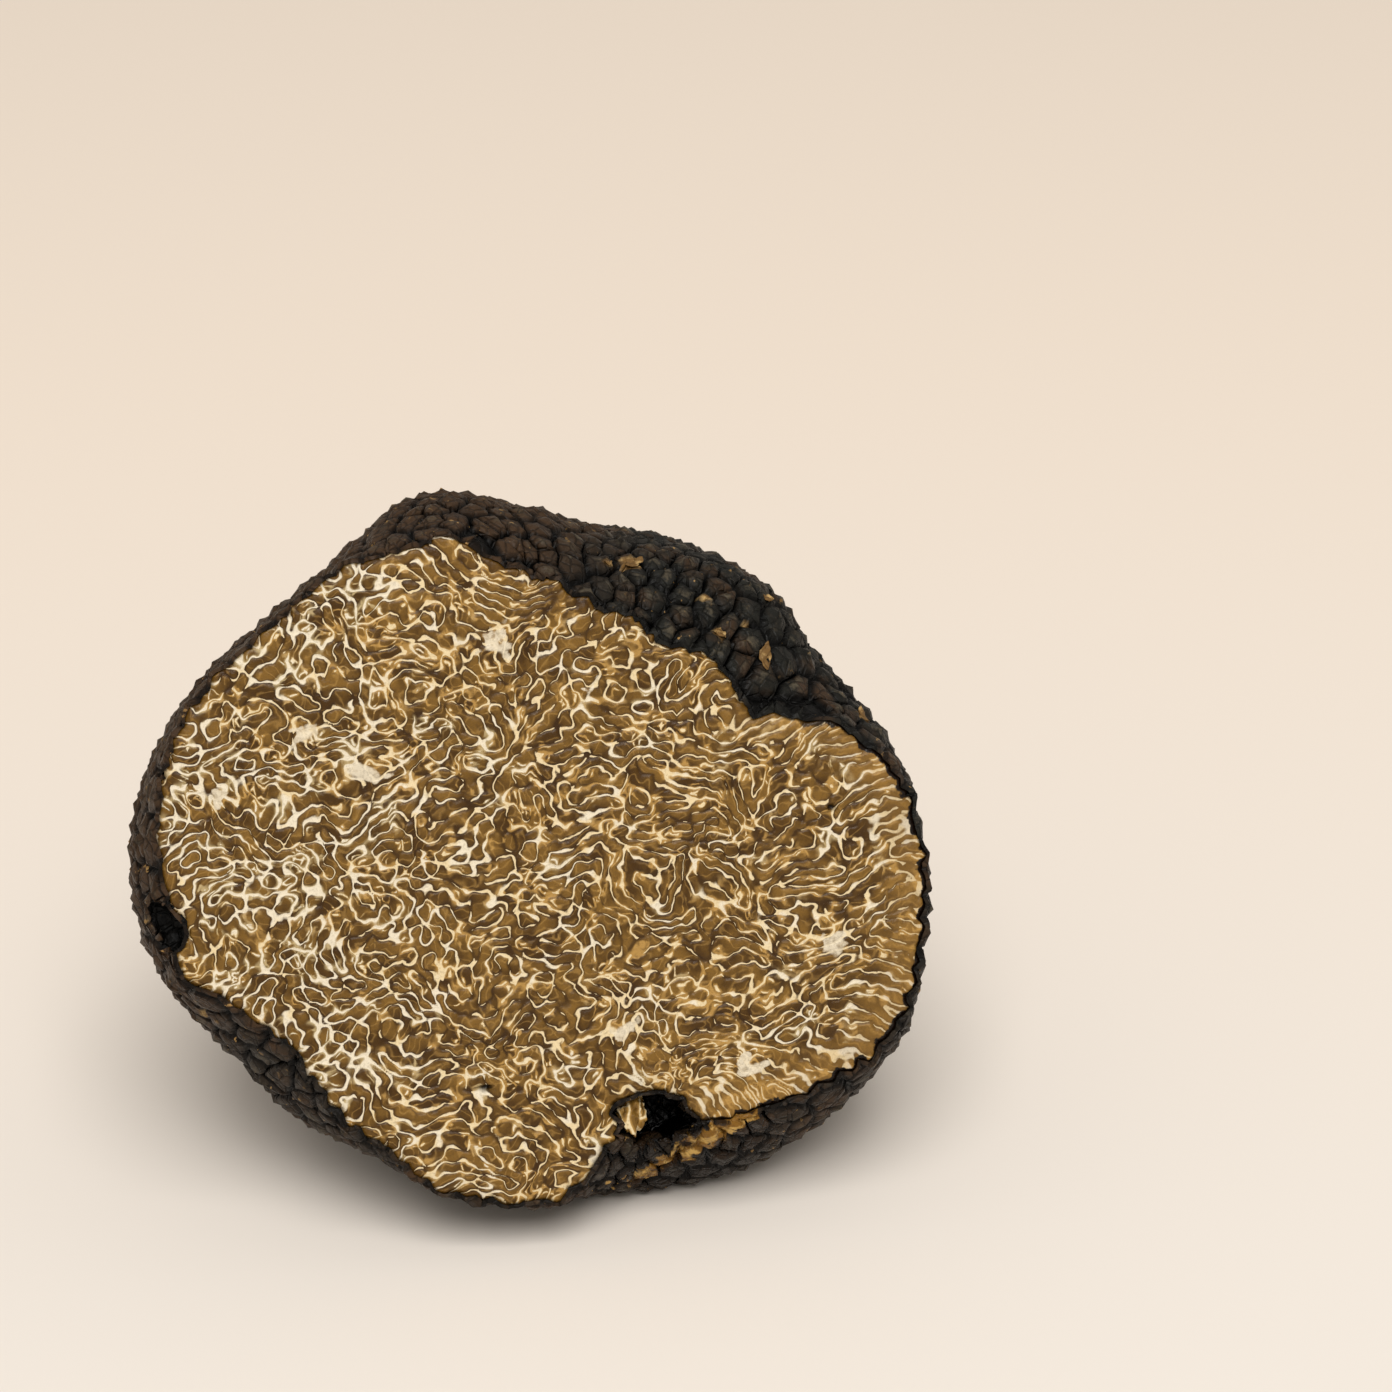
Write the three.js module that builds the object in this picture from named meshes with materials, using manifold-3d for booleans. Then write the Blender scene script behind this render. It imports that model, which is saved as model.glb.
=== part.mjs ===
// A black truffle cut across, a little more than half of it left, lying on its rounded underside.
// The cut face looks forward (-Y) and leans back. Millimetres, +Z up; the origin is under the middle
// of the bounding box, on the surface that the truffle rests on.
// The skin is covered in low angular warts, one pyramid in each cell of an uneven honeycomb.

import * as THREE from "three";
import { ConvexHull } from "three/addons/math/ConvexHull.js";
import { mergeVertices } from "three/addons/utils/BufferGeometryUtils.js";
import Module from "manifold-3d";

const wasm = await Module();
wasm.setup();

// Driving dimensions. The cut frame has x to the right, y up the cut face and z out of it,
// with its zero in the middle of the cut. Angles are in degrees, lengths in millimetres.
const cutLean = 18; // how far the cut face leans back from upright
const girthDepth = 8; // from the cut face back to the widest section
const frontDepth = 24; // from the widest section to where the whole truffle's front would have ended
const backDepth = 24; // from the widest section to the hidden back
const restHeight = 22.5; // from the middle of the widest section down to the flat that it rests on

// Distance from the middle to the edge, every 15 degrees anticlockwise from the right.
const cutRadii = [
  24.9, 23.5, 18.5, 16.9, 16.9, 17.6, 19.5, 22.4, 23.7, 24.0, 25.1, 25.4,
  24.5, 23.1, 20.5, 20.4, 21.2, 22.3, 22.2, 18.4, 20.8, 23.2, 25.8, 25.6,
];
const girthRadii = [
  25.2, 24.4, 22.7, 22.9, 21.8, 21.0, 22.6, 24.6, 23.2, 23.0, 24.5, 25.9,
  26.6, 26.1, 24.4, 24.0, 23.2, 23.2, 23.7, 24.8, 26.4, 27.3, 27.8, 26.2,
];

// Gentle swellings and hollows of the hidden back: degrees round the cut, degrees behind the widest
// section, reach in degrees, and height.
const swellings = [
  { around: 60, behind: 40, reach: 26, height: 1.8 },
  { around: 150, behind: 52, reach: 24, height: 1.4 },
  { around: 215, behind: 30, reach: 22, height: -1.1 },
  { around: 250, behind: 62, reach: 28, height: 1.5 },
  { around: 330, behind: 48, reach: 24, height: 1.2 },
  { around: 10, behind: 22, reach: 16, height: -0.8 },
  { around: 105, behind: 18, reach: 14, height: -0.6 },
];

const seed = 41;
const wartSites = 2600; // over the whole truffle, before the front is cut away
const siteScatter = 0.36; // how far a wart strays from even spacing, as a share of that spacing
const mergedShare = 0.07; // share of sites left out, so that their neighbours grow wider
const wartRise = 0.27; // a wart's tip above the mean skin
const wartRiseSpread = 0.15;
const backRise = 0.18; // how much prouder the warts stand at the very back
const grooveSink = 0.24; // the cracks between warts, below the mean skin
const grooveSinkSpread = 0.07;
const tipScatter = 0.2; // how far a tip strays from the middle of its wart, as a share of the spacing

// Where the skin folds inward: a pit at the lower right of the cut, and a dent at its left edge.
const pits = [
  { centre: { x: 6.3, y: -17.3, z: -0.6 }, half: { x: 2.6, y: 1.9, z: 3.2 }, roughness: 0.22 },
  { centre: { x: -25.4, y: -2.6, z: -0.8 }, half: { x: 2.5, y: 2.2, z: 2.0 }, roughness: 0.1 },
];
const pitFacets = 2;

const skinColour = 0x2b241d;

const radians = THREE.MathUtils.degToRad;

// A repeatable draw between 0 and 1.
function makeRandom(state) {
  return () => {
    state = (state + 0x6d2b79f5) | 0;
    let t = Math.imul(state ^ (state >>> 15), 1 | state);
    t = (t + Math.imul(t ^ (t >>> 7), 61 | t)) ^ t;
    return ((t ^ (t >>> 14)) >>> 0) / 4294967296;
  };
}
const random = makeRandom(seed);
const spread = () => 2 * random() - 1;

// The closed outline through evenly turned radii, smoothed by a Catmull-Rom cubic.
function radiusAt(radii, angle) {
  const turns = angle / (2 * Math.PI);
  const place = (turns - Math.floor(turns)) * radii.length;
  const i = Math.floor(place);
  const [a, b, c, d] = [-1, 0, 1, 2].map((k) => radii[(i + k + radii.length) % radii.length]);
  const t = place - i;
  return b + 0.5 * t * (c - a + t * (2 * a - 5 * b + 4 * c - d + t * (3 * (b - c) + d - a)));
}

// Unit vector for a place on the skin, seen from the middle of the widest section.
function directionOf(around, behind) {
  const flat = Math.cos(radians(behind));
  return new THREE.Vector3(
    flat * Math.cos(radians(around)), flat * Math.sin(radians(around)), -Math.sin(radians(behind)));
}

function swellingAt(direction) {
  let height = 0;
  for (const lump of swellings) {
    const apart = direction.angleTo(directionOf(lump.around, lump.behind)) / radians(lump.reach);
    height += lump.height * Math.exp(-apart * apart);
  }
  return height;
}

// The mean skin in the cut frame, raised by lift. In front of the widest section it tapers so that
// it meets the cut face on the cut's own outline; behind it the section rounds off towards the back.
const cutSine = girthDepth / frontDepth;
const cutCosine = Math.sqrt(1 - cutSine * cutSine);
const meanGirth = girthRadii.reduce((sum, r) => sum + r, 0) / girthRadii.length;

function skinPoint(direction, lift) {
  const around = Math.atan2(direction.y, direction.x);
  const girth = radiusAt(girthRadii, around);
  const forward = Math.max(direction.z, 0);
  const backward = Math.max(-direction.z, 0);
  const taper = (1 - radiusAt(cutRadii, around) / (girth * cutCosine)) / (cutSine * cutSine);
  const shrink = 1 - taper * Math.min(forward, 1.35 * cutSine) ** 2;
  const radius = THREE.MathUtils.lerp(girth, meanGirth, backward ** 2) * shrink;
  const depth = direction.z > 0 ? frontDepth : backDepth;
  const raised = lift + swellingAt(direction);
  return new THREE.Vector3(
    direction.x * radius, direction.y * radius, direction.z * depth - girthDepth,
  ).addScaledVector(direction, raised);
}

// Wart sites: a spiral of even spacing over the unit sphere, scattered, with some left out.
function wartDirections() {
  const spacing = Math.sqrt((4 * Math.PI) / wartSites);
  const golden = Math.PI * (3 - Math.sqrt(5));
  const sites = [];
  for (let i = 0; i < wartSites; i++) {
    const z = 1 - (2 * i + 1) / wartSites;
    const flat = Math.sqrt(1 - z * z);
    const site = new THREE.Vector3(flat * Math.cos(i * golden), flat * Math.sin(i * golden), z);
    site.add(new THREE.Vector3(spread(), spread(), spread()).multiplyScalar(siteScatter * spacing));
    if (random() > mergedShare) sites.push(site.normalize());
  }
  return sites;
}

// Each site's cell is bounded by the middles of the triangles that join it to its neighbours. A face
// runs from the wart's tip to each side of its cell.
function wartedSkin() {
  const sites = wartDirections();
  const spacing = Math.sqrt((4 * Math.PI) / wartSites);
  const tips = new Map(sites.map((site) => {
    const stray = new THREE.Vector3(spread(), spread(), spread()).multiplyScalar(tipScatter * spacing);
    const rise = wartRise + wartRiseSpread * spread() + backRise * Math.max(-site.z, 0);
    return [site, skinPoint(site.clone().add(stray).normalize(), rise)];
  }));
  const hull = new ConvexHull().setFromPoints(sites);
  const corners = new Map(hull.faces.map((face) => [
    face, skinPoint(face.normal.clone().normalize(), -grooveSink + grooveSinkSpread * spread()),
  ]));
  const points = [];
  for (const face of hull.faces) {
    let edge = face.edge;
    do {
      points.push(tips.get(edge.tail().point), corners.get(edge.twin.face), corners.get(face));
      edge = edge.next;
    } while (edge !== face.edge);
  }
  return new THREE.BufferGeometry().setFromPoints(points);
}

// A rough ball, for a pit.
function pitBall({ centre, half, roughness }) {
  const ball = new THREE.IcosahedronGeometry(1, pitFacets);
  ball.deleteAttribute("normal");
  ball.deleteAttribute("uv");
  const merged = mergeVertices(ball);
  const place = merged.attributes.position;
  for (let i = 0; i < place.count; i++) {
    const p = new THREE.Vector3().fromBufferAttribute(place, i);
    p.multiplyScalar(1 + roughness * spread());
    place.setXYZ(i, p.x * half.x, p.y * half.y, p.z * half.z);
  }
  return merged.translate(centre.x, centre.y, centre.z);
}

function boxBetween(low, high) {
  const box = new THREE.BoxGeometry(high.x - low.x, high.y - low.y, high.z - low.z);
  return box.translate((low.x + high.x) / 2, (low.y + high.y) / 2, (low.z + high.z) / 2);
}

function toSolid(geometry) {
  const bare = new THREE.BufferGeometry();
  bare.setAttribute("position", geometry.getAttribute("position").clone());
  if (geometry.index) bare.setIndex(geometry.index.clone());
  const merged = mergeVertices(bare, 1e-5);
  return new wasm.Manifold(new wasm.Mesh({
    numProp: 3,
    vertProperties: new Float32Array(merged.attributes.position.array),
    triVerts: new Uint32Array(merged.index.array),
  }));
}

function toGeometry(solid) {
  const mesh = solid.getMesh();
  const geometry = new THREE.BufferGeometry();
  geometry.setAttribute("position", new THREE.BufferAttribute(mesh.vertProperties, 3));
  geometry.setIndex(new THREE.BufferAttribute(mesh.triVerts, 1));
  return geometry;
}

// The cut frame stood up in the part's frame: leaned back, with the flat underside at height zero.
const lean = radians(cutLean);
const standUp = new THREE.Matrix4().makeTranslation(
  0, -girthDepth * Math.cos(lean), restHeight + girthDepth * Math.sin(lean),
).multiply(new THREE.Matrix4().makeRotationX(Math.PI / 2 - lean));

function truffleGeometry() {
  const reach = 60;
  const front = boxBetween({ x: -reach, y: -reach, z: 0 }, { x: reach, y: reach, z: reach });
  const below = boxBetween({ x: -reach, y: -reach, z: -reach }, { x: reach, y: reach, z: 0 });
  const hollows = pits.map((pit) => toSolid(pitBall(pit)));
  const body = wasm.Manifold.difference([toSolid(wartedSkin()), toSolid(front), ...hollows]);
  const stood = toSolid(toGeometry(body).applyMatrix4(standUp)).subtract(toSolid(below));
  const geometry = toGeometry(stood);
  geometry.computeBoundingBox();
  const middle = geometry.boundingBox.getCenter(new THREE.Vector3());
  return geometry.translate(-middle.x, -middle.y, 0);
}

const truffle = new THREE.Mesh(
  truffleGeometry(),
  new THREE.MeshStandardMaterial({ color: skinColour, roughness: 0.85, metalness: 0 }),
);
truffle.name = "truffle_half";

const group = new THREE.Group();
group.add(truffle);

export default group;
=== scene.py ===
from math import acos, atan2, cos, exp, hypot, pi, radians, sin

import bmesh
import bpy
import numpy as np
from mathutils import Euler, Matrix, Vector, kdtree, noise


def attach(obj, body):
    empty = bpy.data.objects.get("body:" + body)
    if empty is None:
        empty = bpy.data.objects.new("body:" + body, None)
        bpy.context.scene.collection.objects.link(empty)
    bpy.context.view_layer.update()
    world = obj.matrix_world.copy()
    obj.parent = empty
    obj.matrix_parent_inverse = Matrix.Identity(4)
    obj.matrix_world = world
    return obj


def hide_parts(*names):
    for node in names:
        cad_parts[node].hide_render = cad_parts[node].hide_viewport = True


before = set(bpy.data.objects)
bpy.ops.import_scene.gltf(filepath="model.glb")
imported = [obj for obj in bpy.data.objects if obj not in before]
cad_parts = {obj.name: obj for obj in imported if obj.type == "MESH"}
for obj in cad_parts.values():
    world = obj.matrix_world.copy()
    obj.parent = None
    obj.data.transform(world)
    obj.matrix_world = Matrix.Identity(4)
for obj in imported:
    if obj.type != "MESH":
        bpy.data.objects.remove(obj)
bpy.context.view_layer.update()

mm = 0.001
scene = bpy.context.scene
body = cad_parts["truffle_half"]

cut = {
    "lean": 18.0,           # degrees that the cut face leans back
    "offset": (-0.14, 0.29),  # mm from the middle of the cut's extents to the zero of the cut frame
}


# The cut frame, found from the CAD solid: x to the right, y up the cut face, z out of it.
def findCutFrame():
    lean = radians(cut["lean"])
    right, up, out = Vector((1, 0, 0)), Vector((0, sin(lean), cos(lean))), Vector((0, -cos(lean), sin(lean)))
    top = max(v.co.dot(out) for v in body.data.vertices)
    edge = [v.co for v in body.data.vertices if v.co.dot(out) > top - 0.001 * mm]
    xs, ys = [p.dot(right) for p in edge], [p.dot(up) for p in edge]
    x = (min(xs) + max(xs)) / 2 + cut["offset"][0] * mm
    y = (min(ys) + max(ys)) / 2 + cut["offset"][1] * mm
    turned = Matrix((right, up, out)).transposed().to_4x4()
    return Matrix.Translation(right * x + up * y + out * top) @ turned


cutFrame = findCutFrame()
print("cut frame", [round(v / mm, 2) for v in cutFrame.translation])


def finishPiece(name, bm, materials, crease=180.0):
    bm.transform(cutFrame)
    mesh = bpy.data.meshes.new(name)
    bm.to_mesh(mesh)
    bm.free()
    for material in materials:
        mesh.materials.append(material)
    mesh.shade_smooth()
    mesh.set_sharp_from_angle(angle=radians(crease))
    piece = bpy.data.objects.new(name, mesh)
    scene.collection.objects.link(piece)
    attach(piece, "root")
    print(name, len(mesh.polygons), "faces")
    return piece


# Lays a piece's faces flat in one square for baking. What would lie over other faces goes in a corner.
def layOut(bm, chartOf):
    layer = bm.loops.layers.uv.new("OFBake")
    for f in bm.faces:
        chart = chartOf(f)
        for loop in f.loops:
            loop[layer].uv = chart(loop.vert.co / mm)


def cornerChart(u, v, x, y, reach):
    return lambda p: (u + 0.06 * (p.x - x) / reach, v + 0.06 * (p.y - y) / reach)


def addNode(tree, kind, inputs=None, **settings):
    node = tree.nodes.new(kind)
    for key, value in settings.items():
        setattr(node, key, value)
    for key, value in (inputs or {}).items():
        if isinstance(value, bpy.types.NodeSocket):
            tree.links.new(value, node.inputs[key])
        else:
            node.inputs[key].default_value = value
    return node


def maths(tree, operation, a, b=0.0, c=0.0, clamp=False):
    node = addNode(tree, "ShaderNodeMath", {0: a, 1: b, 2: c}, operation=operation, use_clamp=clamp)
    return node.outputs[0]


def ramp(tree, value, low, high, to0=0.0, to1=1.0, kind="SMOOTHSTEP"):
    node = addNode(tree, "ShaderNodeMapRange", {"Value": value, "From Min": low, "From Max": high,
                                                "To Min": to0, "To Max": to1}, interpolation_type=kind)
    return node.outputs["Result"]


def mixColour(tree, factor, a, b, blend="MIX"):
    node = addNode(tree, "ShaderNodeMix", data_type="RGBA", blend_type=blend)
    for index, value in ((0, factor), (6, a), (7, b)):
        if isinstance(value, bpy.types.NodeSocket):
            tree.links.new(value, node.inputs[index])
        else:
            node.inputs[index].default_value = value
    return node.outputs[2]


def attribute(tree, name):
    return addNode(tree, "ShaderNodeAttribute", attribute_name=name).outputs["Fac"]


def srgb(r, g, b):
    return tuple((c / 255) ** 2.2 for c in (r, g, b)) + (1.0,)


def newMaterial(name, colour):
    material = bpy.data.materials.new(name)
    material.use_nodes = True
    material.diffuse_color = colour
    tree = material.node_tree
    shader = tree.nodes["Principled BSDF"]
    return material, tree, shader


def addInput(group, name, value):
    socket = group.interface.new_socket(name, in_out="INPUT", socket_type="NodeSocketFloat")
    socket.default_value = value


def addOutput(group, name):
    group.interface.new_socket(name, in_out="OUTPUT", socket_type="NodeSocketFloat")


# Speckle of a stated grain size, used by both the skin and the flesh.
def makeSpeckleGroup():
    group = bpy.data.node_groups.new("speckle", "ShaderNodeTree")
    addInput(group, "Grain size", 1.0)
    addInput(group, "Detail", 3.0)
    addInput(group, "Threshold", 0.5)
    addInput(group, "Softness", 0.1)
    addOutput(group, "Value")
    addOutput(group, "Mask")
    source = group.nodes.new("NodeGroupInput")
    sink = group.nodes.new("NodeGroupOutput")
    place = addNode(group, "ShaderNodeTexCoord").outputs["Object"]
    scale = maths(group, "DIVIDE", 1000.0, source.outputs["Grain size"])
    tex = addNode(group, "ShaderNodeTexNoise", {"Vector": place, "Scale": scale,
                                                "Detail": source.outputs["Detail"], "Roughness": 0.55})
    value = tex.outputs["Fac"]
    low = maths(group, "SUBTRACT", source.outputs["Threshold"], source.outputs["Softness"])
    high = maths(group, "ADD", source.outputs["Threshold"], source.outputs["Softness"])
    group.links.new(value, sink.inputs["Value"])
    group.links.new(ramp(group, value, low, high), sink.inputs["Mask"])
    return group


speckleGroup = makeSpeckleGroup()


def speckle(tree, size, threshold=0.5, softness=0.1, detail=3.0):
    node = addNode(tree, "ShaderNodeGroup", node_tree=speckleGroup)
    settings = {"Grain size": size, "Detail": detail, "Threshold": threshold, "Softness": softness}
    for key, value in settings.items():
        node.inputs[key].default_value = value
    return node


# Small tilted facets, one plane in each cell of an uneven honeycomb. Edge is 0 on the cracks between them.
def makeFacetGroup():
    group = bpy.data.node_groups.new("facets", "ShaderNodeTree")
    addInput(group, "Size", 1.0)
    for name in ("Tilt", "Tone", "Edge"):
        addOutput(group, name)
    source = group.nodes.new("NodeGroupInput")
    sink = group.nodes.new("NodeGroupOutput")
    place = addNode(group, "ShaderNodeTexCoord").outputs["Object"]
    scale = maths(group, "DIVIDE", 1000.0, source.outputs["Size"])
    cells = addNode(group, "ShaderNodeTexVoronoi", {"Vector": place, "Scale": scale})
    inCell = addNode(group, "ShaderNodeVectorMath", {0: place, 1: cells.outputs["Position"]},
                     operation="SUBTRACT")
    lean = addNode(group, "ShaderNodeVectorMath", {0: cells.outputs["Color"], 1: (0.5, 0.5, 0.5)},
                   operation="SUBTRACT")
    slope = addNode(group, "ShaderNodeVectorMath", {0: inCell.outputs[0], 1: lean.outputs[0]},
                    operation="DOT_PRODUCT")
    tilt = maths(group, "MULTIPLY", slope.outputs["Value"], scale)
    tone = addNode(group, "ShaderNodeSeparateColor", {"Color": cells.outputs["Color"]}).outputs["Red"]
    cracks = addNode(group, "ShaderNodeTexVoronoi", {"Vector": place, "Scale": scale},
                     feature="DISTANCE_TO_EDGE")
    group.links.new(tilt, sink.inputs["Tilt"])
    group.links.new(tone, sink.inputs["Tone"])
    group.links.new(ramp(group, cracks.outputs["Distance"], 0.0, 0.14), sink.inputs["Edge"])
    return group


facetGroup = makeFacetGroup()


def facets(tree, size):
    node = addNode(tree, "ShaderNodeGroup", node_tree=facetGroup)
    node.inputs["Size"].default_value = size
    return node


skinLook = {
    "black": srgb(33, 33, 30),
    "brown": srgb(66, 50, 36),
    # painted highlight and wear: the colour that facets and wart tips are lightened towards
    "light": srgb(86, 79, 66),
    # near black painted shade for the cracks between facets and warts, and round the pit
    "crackShade": srgb(5, 4, 3),
    "tipTan": srgb(180, 142, 88),
    "chipTan": srgb(186, 154, 102),
    "chipDark": srgb(116, 88, 52),
    "torn": srgb(128, 92, 40),
    "tornDark": srgb(46, 31, 14),
    "tornPale": srgb(198, 160, 92),
    "specular": 0.16,
    "wetSpecular": 0.12,
    "wetSmoother": 0.26,
    "facetSize": 0.85,      # mm
    "fineSize": 0.42,
}


def makeSkinMaterial(name, specular, smoother):
    material, tree, shader = newMaterial(name, skinLook["brown"])
    tip, bare, torn = attribute(tree, "tip"), attribute(tree, "bare"), attribute(tree, "torn")
    brown, pitShade = attribute(tree, "brown"), attribute(tree, "pitShade")
    coarse, small = facets(tree, skinLook["facetSize"]), facets(tree, skinLook["fineSize"])
    patches = maths(tree, "ADD", speckle(tree, 4.0, 0.58, 0.12, 4.0).outputs["Mask"], brown, clamp=True)
    colour = mixColour(tree, patches, skinLook["black"], skinLook["brown"])
    fine = speckle(tree, 0.25, 0.5, 0.2, 5.0).outputs["Value"]
    # Painted highlight and wear: facets lighten at random and towards the wart tips, partly real wear, partly
    # a painted sheen.
    sheenAndWearTone = maths(tree, "MULTIPLY", coarse.outputs["Tone"], ramp(tree, tip, 0.2, 0.9, 0.3, 1.0))
    sheenAndWearTone = maths(tree, "ADD", sheenAndWearTone, ramp(tree, fine, 0.3, 0.7, -0.3, 0.3, "LINEAR"))
    sheenAndWear = maths(tree, "MULTIPLY", ramp(tree, sheenAndWearTone, 0.3, 1.1), maths(tree, "MULTIPLY_ADD", brown, -0.35, 0.9))
    colour = mixColour(tree, sheenAndWear, colour, skinLook["light"])
    # Painted shade: the cracks between the small facets and between the warts are darkened to near black.
    facetCrackShade = ramp(tree, coarse.outputs["Edge"], 0.8, 0.0, 0.0, 0.45)
    colour = mixColour(tree, facetCrackShade, colour, skinLook["crackShade"])
    colour = mixColour(tree, ramp(tree, tip, 0.42, 0.06), colour, skinLook["crackShade"])
    scattered = speckle(tree, 6.5, 0.52, 0.08, 2.0).outputs["Mask"]
    # Tan flecks at the wart tips: partly real tan wear, partly painted glints on the ridges.
    tipGrains = speckle(tree, 0.7, 0.58, 0.03, 5.0).outputs["Mask"]
    tanTipsAndGlints = maths(tree, "MULTIPLY", ramp(tree, tip, 0.80, 0.98), tipGrains)
    flecks = speckle(tree, 0.60, 0.69, 0.02, 5.0).outputs["Mask"]
    share = maths(tree, "MULTIPLY_ADD", scattered, 0.65, 0.10)
    share = maths(tree, "MULTIPLY_ADD", brown, 0.35, share, clamp=True)
    flecks = maths(tree, "MULTIPLY", maths(tree, "MAXIMUM", tanTipsAndGlints, flecks), share)
    colour = mixColour(tree, flecks, colour, skinLook["tipTan"])
    # Painted shade: the skin round the pit is darkened.
    colour = mixColour(tree, maths(tree, "MULTIPLY", pitShade, 0.5), colour, skinLook["crackShade"])
    tornMask = maths(tree, "ADD", torn, speckle(tree, 0.8, 0.5, 0.2, 5.0).outputs["Value"])
    tornMask = ramp(tree, tornMask, 0.80, 0.98)
    mottle = speckle(tree, 0.9, 0.54, 0.07, 5.0).outputs["Mask"]
    tornColour = mixColour(tree, mottle, skinLook["torn"], skinLook["tornPale"])
    tornBlots = speckle(tree, 1.3, 0.55, 0.06, 4.0).outputs["Mask"]
    tornColour = mixColour(tree, tornBlots, tornColour, skinLook["tornDark"])
    colour = mixColour(tree, tornMask, colour, tornColour)
    chipColour = mixColour(tree, mottle, skinLook["chipDark"], skinLook["chipTan"])
    colour = mixColour(tree, bare, colour, chipColour)
    tree.links.new(colour, shader.inputs["Base Color"])
    rough = ramp(tree, fine, 0.3, 0.7, 0.36, 0.62, "LINEAR")
    rough = maths(tree, "SUBTRACT", rough, smoother)
    tree.links.new(rough, shader.inputs["Roughness"])
    shader.inputs["Specular IOR Level"].default_value = specular
    height = maths(tree, "MULTIPLY_ADD", small.outputs["Tilt"], 0.4, coarse.outputs["Tilt"])
    height = maths(tree, "MULTIPLY_ADD", coarse.outputs["Edge"], 0.18, height)
    height = maths(tree, "MULTIPLY_ADD", fine, 0.14, height)
    grain = speckle(tree, 0.10, 0.5, 0.2, 2.0).outputs["Value"]
    height = maths(tree, "MULTIPLY_ADD", grain, 0.03, height)
    bump = addNode(tree, "ShaderNodeBump", {"Strength": 1.0, "Distance": 0.40 * mm, "Height": height})
    tree.links.new(bump.outputs["Normal"], shader.inputs["Normal"])
    return material


fleshLook = {
    "olive": srgb(71, 48, 10),
    "tan": srgb(123, 91, 40),
    "dark": srgb(50, 31, 6),
    "gold": srgb(186, 145, 80),
    "cream": srgb(229, 208, 165),
    "white": srgb(232, 220, 195),
    "rim": srgb(170, 129, 66),
    "rimEdge": srgb(104, 76, 34),
    "veil": srgb(192, 170, 124),
    "milk": srgb(198, 184, 158),
    "shadedHole": srgb(22, 13, 5),
    "veinWidth": 0.077,     # mm either side of a vein's middle line
    "barWidth": 0.080,
    "glowWidth": 0.155,
    "specular": 0.25,
}


def bell(tree, value, width):
    share = maths(tree, "DIVIDE", value, width)
    return maths(tree, "EXPONENT", maths(tree, "MULTIPLY", maths(tree, "MULTIPLY", share, share), -1.0))


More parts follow.
